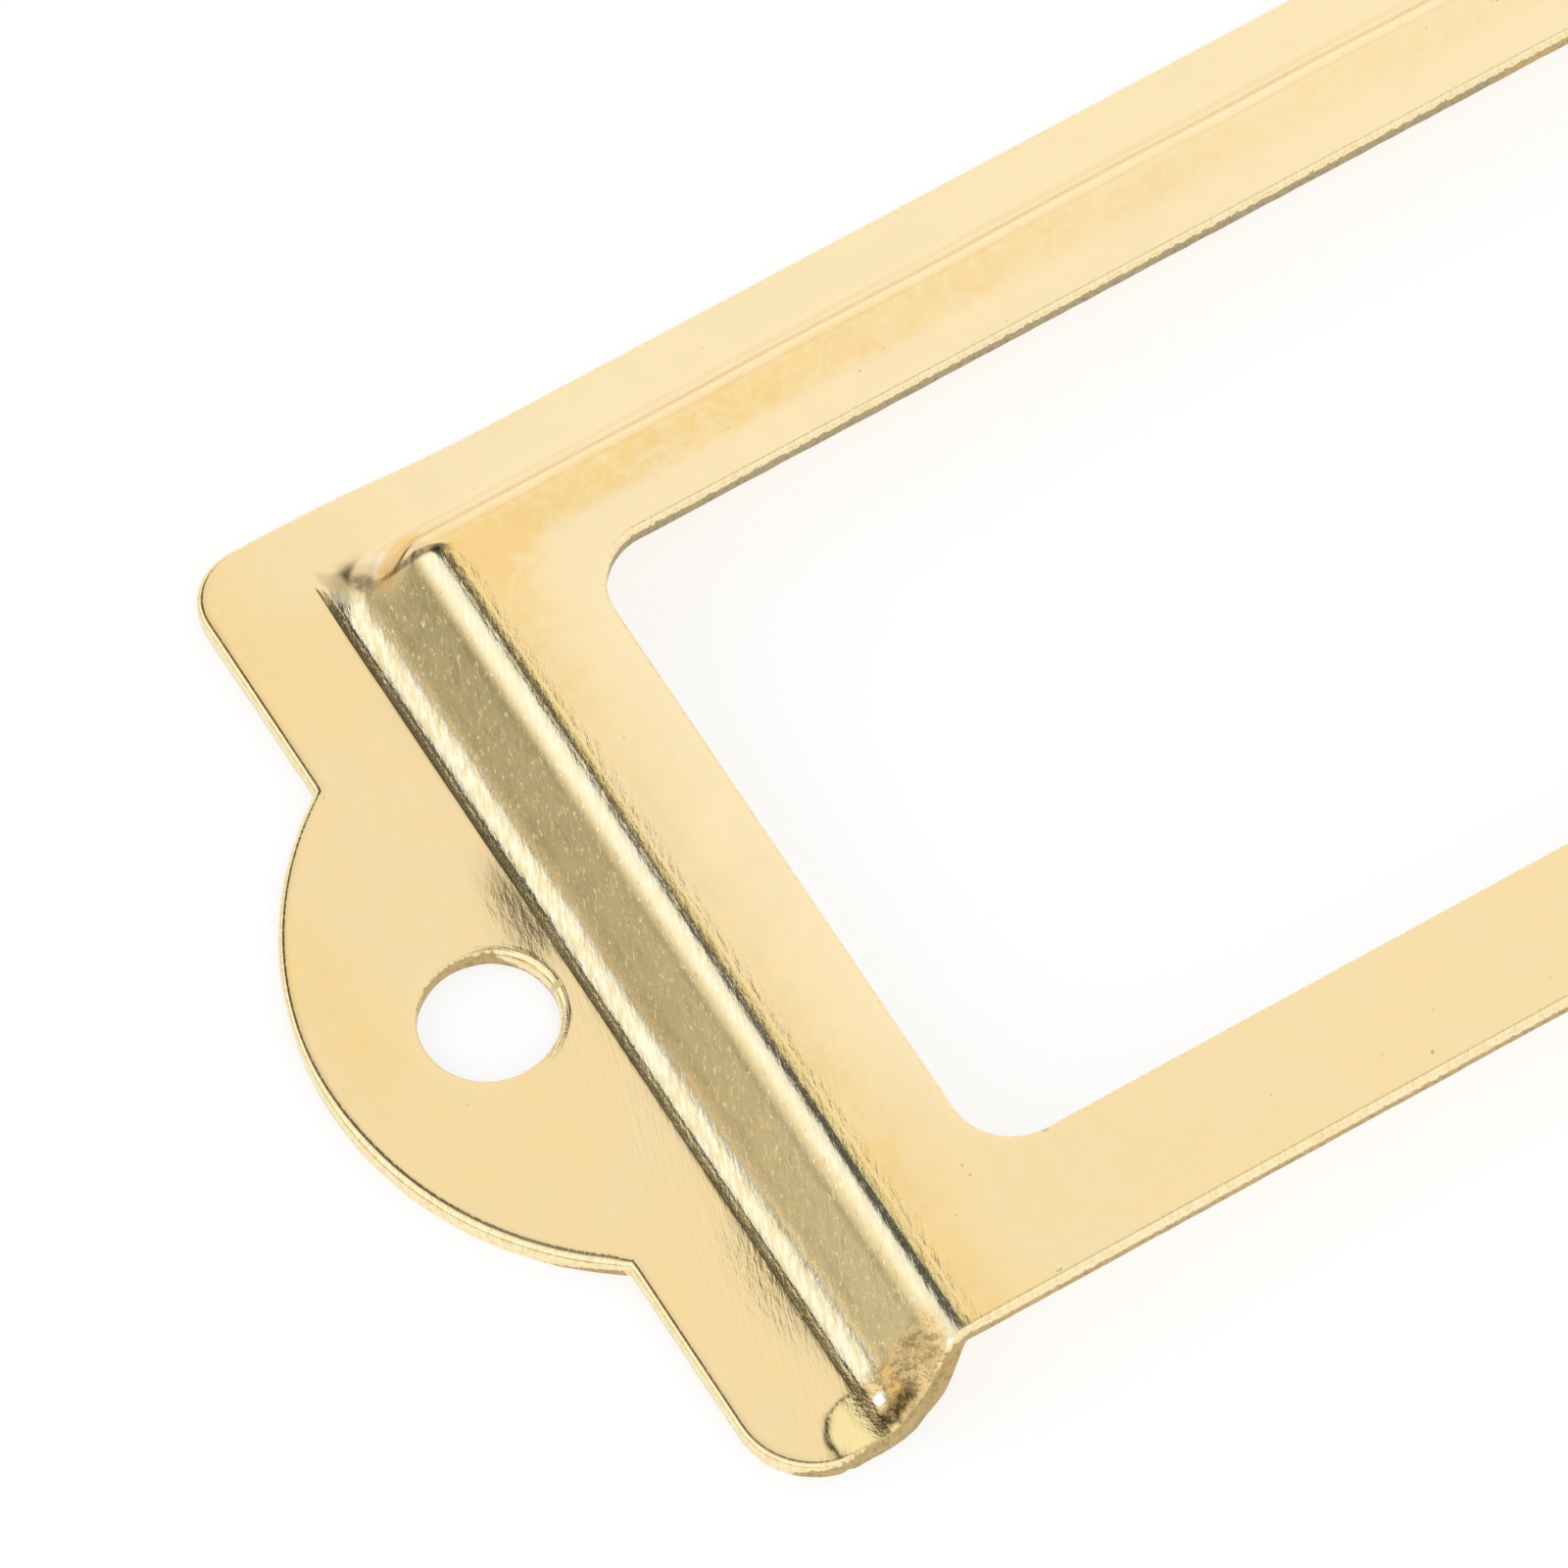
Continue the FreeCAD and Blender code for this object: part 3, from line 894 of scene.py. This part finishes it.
        # Painted shade: the end step's wall is painted a darker, olive gold, most towards the closed side,
        # standing in for the dim reflection it shows
        wall_shade_colour = g.mix(self.rise("wall_shade_olive"), WALL_SHADE_GOLD, WALL_SHADE_OLIVE)
        colour = g.mix(g.times(self.wall, 0.9), colour, wall_shade_colour)
        # Painted highlights: the crests of both bends are painted in whiter, combed streaks where bright
        # lines of reflected light lie
        crest = g.times(g.plus(self.stretch("crown_crest"), self.stretch("foot_crest")), self.below_hip)
        comb = g.larger(g.ramp(self.pattern("comb"), 0.38, 0.60), self.rise("crown_smooth"))
        colour = g.mix(g.times(crest, 0.95), colour, g.mix(comb, CREST_HIGHLIGHT_DIM, CREST_HIGHLIGHT_WHITE))
        # Painted shade: a deeper gold in the sharpest part of each bend, where dark reflected lines lie
        colour = g.mix(g.times(self.sharp_bend, 0.6), colour, BEND_SHADE_GOLD)
        # Painted highlights: bright flecks painted on the wall where it would sparkle
        sparkle_flecks = g.times(g.ramp(self.pattern("sparkle_flecks"), 0.64, 0.72), self.stretch("flecked"), self.below_hip)
        colour = g.mix(g.times(sparkle_flecks, 0.8), colour, FLECK_HIGHLIGHT)
        rippled = g.mix(g.ramp(self.ripples, 0.38, 0.54), UMBER_GOLD, RIPPLE_GOLD)
        colour = g.mix(g.times(self.run_out, 0.9), colour, rippled)
        return g.mix(g.ramp(self.grain, 0.3, 0.75, 0.0, 0.06), colour, WARM_GOLD)

    def fan_specks_and_painted_light(self, colour):
        """The yellow fan with painted shade along its rim, painted shade at the corner's top and foot and in
        the notch, the painted glints, and dark specks.
        """
        g, at = self.g, self.at
        mark_breakup = g.ramp(self.pattern("mark_breakup"), 0.38, 0.56)
        fan = g.distance(g.calc("DIVIDE", g.minus(at["out_x"], FAN_X), FAN_WIDE),
                         g.calc("DIVIDE", g.minus(at["up_y"], FAN_Y), FAN_HIGH))
        fan = g.plus(fan, g.ramp(mark_breakup, 0, 1, -0.03, 0.03))
        fan_edge = g.times(g.band(fan, 0.91, 0.96, 1.0, 1.05), self.rise("fan_edge"))
        in_fan = g.times(g.ramp(fan, 1.0, 0.9), self.rise("fan"), 0.95)
        colour = g.mix(in_fan, colour, YELLOW_GOLD)
        # Painted shade: dark lines at the corner's top and foot, where the bends' dark reflected lines turn
        # round the corner
        colour = g.mix(g.times(self.patch("hook"), g.ramp(mark_breakup, 0, 1, 0.62, 0.92)), colour, DARK_BROWN)
        colour = g.mix(g.times(self.patch("corner_foot"), g.ramp(mark_breakup, 0, 1, 0.6, 0.85)), colour, DARK_BROWN)
        # Painted shade: a dark line along the fan's rim
        colour = g.mix(g.times(fan_edge, mark_breakup, 0.75), colour, DARK_BROWN)
        # Painted shade: a dark arc where the sheet puckers in the notch
        colour = g.mix(g.times(self.patch("notch"), g.ramp(mark_breakup, 0, 1, 0.6, 0.95)), colour, NOTCH_SHADE)
        # Painted highlights: the glints
        colour = g.mix(g.larger(*[self.glint(*spot) for spot in PAINTED_GLINTS]), colour, GLINT_WHITE)
        return g.mix(g.times(g.ramp(self.pattern("specks"), 0.735, 0.775), 0.45), colour, DARK_BROWN)

    def cut_colour(self, colour):
        """The burnished and the torn part of the cut edges."""
        g = self.g
        colour = g.mix(self.rolled, colour, g.mix(g.ramp(self.teeth, 0.36, 0.55), GOLD, BRIGHT_CUT))
        at_run_out = g.times(self.stretch("run_out_cut"), self.rise("run_out_cut"))
        olive = g.larger(g.ramp(self.along, OLIVE_FROM, OLIVE_FULL), at_run_out)
        bare = g.mix(olive, BARE_BROWN, OLIVE_CUT)
        return g.mix(self.torn, colour, g.mix(g.ramp(self.teeth, 0.38, 0.55, 0.6, 1.0), DARK_BROWN, bare))

    def roughness(self):
        g = self.g
        streaks = g.ramp(self.pattern("streaks"), 0.3, 0.7, 0.04, 0.12)
        return g.plus(g.ramp(self.cloud, 0.3, 0.7, 0.14, 0.2), g.times(self.wall, streaks),
                      g.times(self.torn, 0.25), g.times(self.patch("corner_line"), 0.28))

    def relief(self):
        """Heights of the fine marks, in relief units."""
        g, at = self.g, self.at
        strokes = self.pattern("strokes")
        dashes = g.ramp(self.pattern("dashes"), 0.62, 0.76)
        crown_bend = g.times(self.stretch("crown_bend"), self.below_hip)
        foot_bend = g.times(self.stretch("foot_bend"), self.below_hip)
        drag = g.times(g.larger(self.stretch("drag_high"), self.stretch("drag_low")),
                       self.stretch("beside_foot"))
        scuffed = g.times(self.stretch("scuffed"), self.rise("scuffed"))
        from_hole_x = g.minus(at["out_x"], HOLE_X)
        from_hole = g.distance(from_hole_x, g.minus(at["up_y"], HOLE_Y))
        rings = g.noise(g.joined(g.times(from_hole, 14.0), g.times(self.along, 0.7)), 2, 0.7)
        ringed = g.times(g.ramp(from_hole, 1.76, 1.68), g.ramp(from_hole_x, -0.1, -0.9))
        near_edge = g.ramp(self.depth, 0.0, 0.004)
        return g.plus(
            g.times(g.plus(g.times(crown_bend, 1.4), g.times(foot_bend, 1.6), g.times(drag, 0.8)), strokes),
            g.times(ringed, g.minus(rings, 0.5), 2.0),
            g.times(self.wall, dashes, 0.9),
            g.times(self.wall, strokes, 0.5),
            g.times(self.pattern("mottle"), g.plus(g.times(self.wall, 0.7), 0.05)),
            g.times(self.grain, g.plus(0.035, g.times(self.sharp_bend, 0.9))),
            g.times(g.minus(self.teeth, 0.5), g.plus(g.times(near_edge, 1.5), g.times(self.torn, 1.2))),
            g.times(scuffed, self.pattern("scuffs"), 0.35),
            g.times(self.run_out, self.ripples, 2.5))

    def finished(self):
        g = self.g
        shader = g.node("ShaderNodeBsdfPrincipled")
        shader.inputs["Metallic"].default_value = 1
        colour = self.fan_specks_and_painted_light(self.step_colour(self.flat_colour()))
        g.put(shader.inputs["Base Color"], self.cut_colour(colour))
        g.put(shader.inputs["Roughness"], self.roughness())
        bump = g.node("ShaderNodeBump")
        bump.inputs["Strength"].default_value = 1.0
        bump.inputs["Distance"].default_value = RELIEF_UNIT * MM
        g.put(bump.inputs["Height"], self.relief())
        g.put(shader.inputs["Normal"], bump.outputs[0])
        g.put(g.node("ShaderNodeOutputMaterial").inputs["Surface"], shader.outputs[0])
        return self.material


# Floor, room and camera

FLOOR_HALF = 3.0
FLOOR_DROP = 0.03
FLOOR_GREY = (0.35, 0.35, 0.35, 1)
FLOOR_SEEN = 0.72

CAMERA_AZIMUTH, CAMERA_ELEVATION, CAMERA_ROLL = (math.radians(a) for a in (26.86, 61.55, -4.29))
CAMERA_TARGET = (-29.79, 1.90, 0)
CAMERA_DISTANCE = 359.07
CAMERA_SENSOR, CAMERA_LENS = 36, 391.35
CAMERA_CLIP = (0.01, 20)


def make_floor():
    """A white floor just under the sheet. What the camera and the metal see of it is white."""
    half = FLOOR_HALF
    plane = bpy.data.meshes.new("floor")
    corners = [(-half, -half, 0), (half, -half, 0), (half, half, 0), (-half, half, 0)]
    plane.from_pydata(corners, [], [(0, 1, 2, 3)])
    floor = bpy.data.objects.new("floor", plane)
    floor.location = (0, 0, -FLOOR_DROP * MM)
    bpy.context.scene.collection.objects.link(floor)
    mat, tree = nodes_of("white_floor")
    g = Graph(tree)
    diffuse = g.node("ShaderNodeBsdfDiffuse")
    diffuse.inputs["Color"].default_value = FLOOR_GREY
    path = g.node("ShaderNodeLightPath").outputs
    seen = g.larger(path["Is Camera Ray"], path["Is Glossy Ray"], path["Is Transmission Ray"])
    glow = g.node("ShaderNodeEmission")
    g.put(glow.inputs["Strength"], g.times(seen, FLOOR_SEEN))
    both = g.node("ShaderNodeAddShader")
    g.put(both.inputs[0], diffuse.outputs[0])
    g.put(both.inputs[1], glow.outputs[0])
    g.put(g.node("ShaderNodeOutputMaterial").inputs["Surface"], both.outputs[0])
    plane.materials.append(mat)


def make_room():
    """A bright room with a dim zone low on the left, a lamp above that and a dark gap overhead."""
    world = bpy.data.worlds.new("room")
    bpy.context.scene.world = world
    world.use_nodes = True
    world.node_tree.nodes.clear()
    g = Graph(world.node_tree)
    # The direction looked in; the stops below are places along its three parts
    x, y, z = g.split(g.node("ShaderNodeTexCoord").outputs["Generated"])
    left = g.ramp(x, -0.3, -0.44)
    gap = g.times(g.band(x, -0.42, -0.34, 0.0, 0.13), g.ramp(z, 0.45, 0.6), g.ramp(y, 0.1, 0.3), -0.92)
    low = g.times(left, g.ramp(z, 0.22, 0.03), -0.68)
    lamp = g.times(left, g.band(z, 0.2, 0.34, 0.62, 0.72), 0.14)
    haze = g.ramp(g.calc("ABSOLUTE", z), 0.2, 0.0, 0.0, -0.12)
    overhead = g.times(g.ramp(z, 0.88, 0.95), g.band(y, -0.35, -0.15, 0.12, 0.27),
                       g.ramp(x, 0.18, -0.02, -0.25, -0.75))
    back = g.node("ShaderNodeBackground")
    back.inputs["Color"].default_value = (1, 1, 1, 1)
    g.put(back.inputs["Strength"], g.plus(1.0, gap, low, lamp, haze, overhead))
    g.put(g.node("ShaderNodeOutputWorld").inputs["Surface"], back.outputs[0])


def make_camera():
    """The photograph's camera, fitted to the outlines."""
    azimuth, elevation, roll = CAMERA_AZIMUTH, CAMERA_ELEVATION, CAMERA_ROLL
    back = Vector((-math.cos(elevation) * math.sin(azimuth), -math.cos(elevation) * math.cos(azimuth),
                   math.sin(elevation)))
    up = Vector((math.sin(elevation) * math.sin(azimuth), math.sin(elevation) * math.cos(azimuth),
                 math.cos(elevation)))
    right = up.cross(back)
    x_axis = right * math.cos(roll) + up * math.sin(roll)
    y_axis = up * math.cos(roll) - right * math.sin(roll)
    target, distance = Vector(CAMERA_TARGET) * MM, CAMERA_DISTANCE * MM
    data = bpy.data.cameras.new("camera")
    data.sensor_width = CAMERA_SENSOR
    data.lens = CAMERA_LENS
    data.clip_start, data.clip_end = CAMERA_CLIP
    camera = bpy.data.objects.new("camera", data)
    turn = Matrix((x_axis, y_axis, back)).transposed().to_4x4()
    camera.matrix_world = Matrix.Translation(target + back * distance) @ turn
    bpy.context.scene.collection.objects.link(camera)
    bpy.context.scene.camera = camera


piece = make_sheet()
piece.data.materials.append(Plating().finished())
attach(piece, "root")
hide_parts("label_frame")

make_floor()
make_room()
make_camera()
bpy.context.scene.view_settings.view_transform = "Standard"
